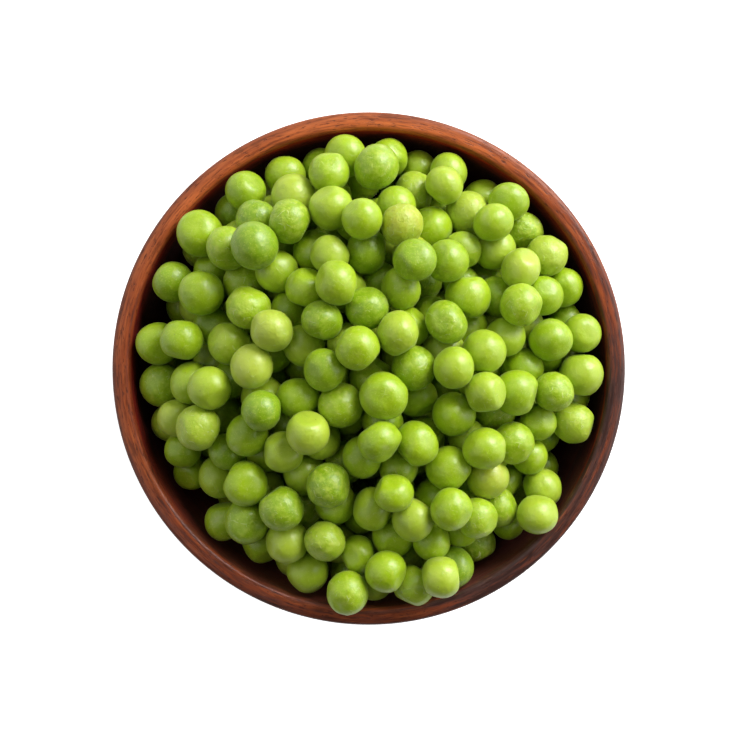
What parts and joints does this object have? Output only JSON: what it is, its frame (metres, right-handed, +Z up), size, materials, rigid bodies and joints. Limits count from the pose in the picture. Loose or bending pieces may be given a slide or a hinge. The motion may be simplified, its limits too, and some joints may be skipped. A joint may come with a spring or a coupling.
{
  "type": "wooden bowl of green peas",
  "caption": "Small round turned wooden bowl with a low foot, heaped with shelled green peas.",
  "frame": {"origin": "middle of the underside of the bowl's foot, on the surface it stands on", "axes": "+Z up along the bowl's turning axis; the bowl is round, so +X and +Y point nowhere in particular"},
  "size_m": [0.11, 0.11, 0.0673],
  "materials": {
    "wood": "satin",
    "pea_skin": "satin"
  },
  "bodies": {
    "root": {"bowl": "wood", "pea_heap": "pea_skin"}
  },
  "joints": []
}
